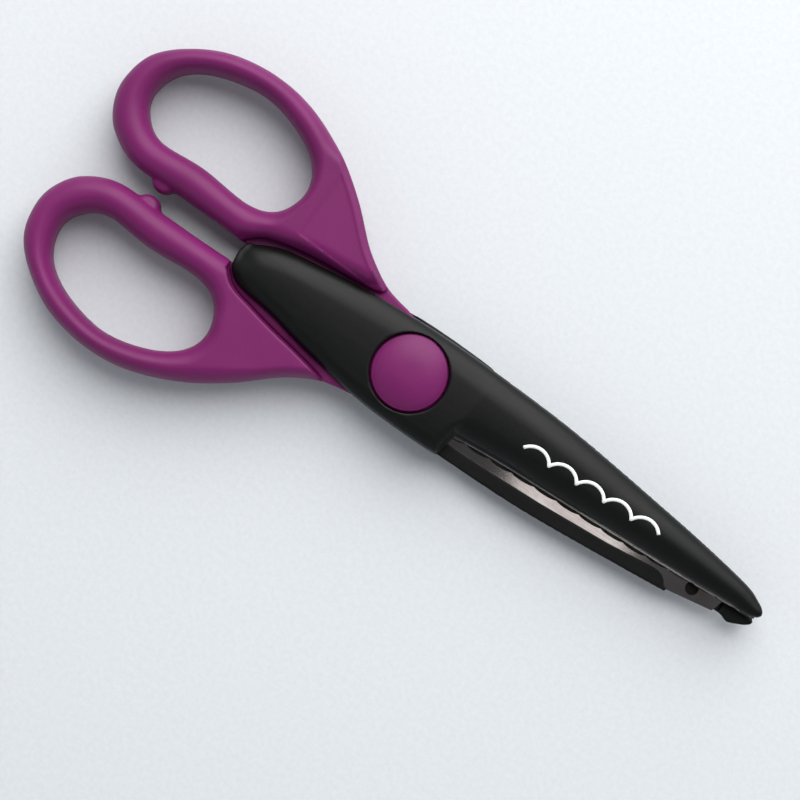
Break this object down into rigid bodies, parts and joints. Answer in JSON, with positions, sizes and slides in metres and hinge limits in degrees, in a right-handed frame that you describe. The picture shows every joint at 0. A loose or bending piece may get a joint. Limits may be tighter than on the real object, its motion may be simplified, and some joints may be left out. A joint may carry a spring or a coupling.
{
  "type": "decorative edge scissors",
  "caption": "Craft scissors that cut a scalloped border: ring handles, black blade covers and corrugated steel blades on a capped pivot.",
  "frame": {"origin": "where the pivot axis meets the flat centre of the rear cap, on which the scissors rest", "axes": "+X along the closed blades towards the tips, +Z along the pivot axis from the rear cap to the front cap, +Y towards the rear handle's ring"},
  "size_m": [0.1654, 0.0662, 0.0118],
  "materials": {
    "purple_plastic": "satin moulded purple plastic",
    "black_plastic": "finely grained black plastic",
    "blade_steel": "rolled stainless sheet",
    "zinc_steel": "plain zinc-plated steel",
    "white_nylon": "natural nylon"
  },
  "bodies": {
    "rear_half": {"rear_handle": "purple_plastic", "rear_blade_cover": "black_plastic", "rear_blade": "blade_steel", "rear_pivot_cap": "purple_plastic", "rear_tang_rivet": "zinc_steel", "rear_tip_rivet": "zinc_steel", "rear_tail_screw": "zinc_steel", "rear_middle_screw": "zinc_steel", "rear_washer": "zinc_steel", "pivot_bolt": "zinc_steel", "pivot_sleeve": "zinc_steel", "pivot_spacer": "white_nylon", "pivot_nut": "zinc_steel", "pivot_wave_spring": "zinc_steel"},
    "front_half": {"front_handle": "purple_plastic", "front_blade_cover": "black_plastic", "front_blade": "blade_steel", "front_pivot_cap": "purple_plastic", "front_tang_rivet": "zinc_steel", "front_tip_rivet": "zinc_steel", "front_tail_screw": "zinc_steel", "front_middle_screw": "zinc_steel", "front_washer": "zinc_steel"}
  },
  "joints": [
    {"name": "pivot", "type": "hinge", "parent": "rear_half", "child": "front_half", "pos_m": [0, 0, 0.0059], "axis": [0, 0, 1], "range_deg": [-0.9, 55]}
  ]
}
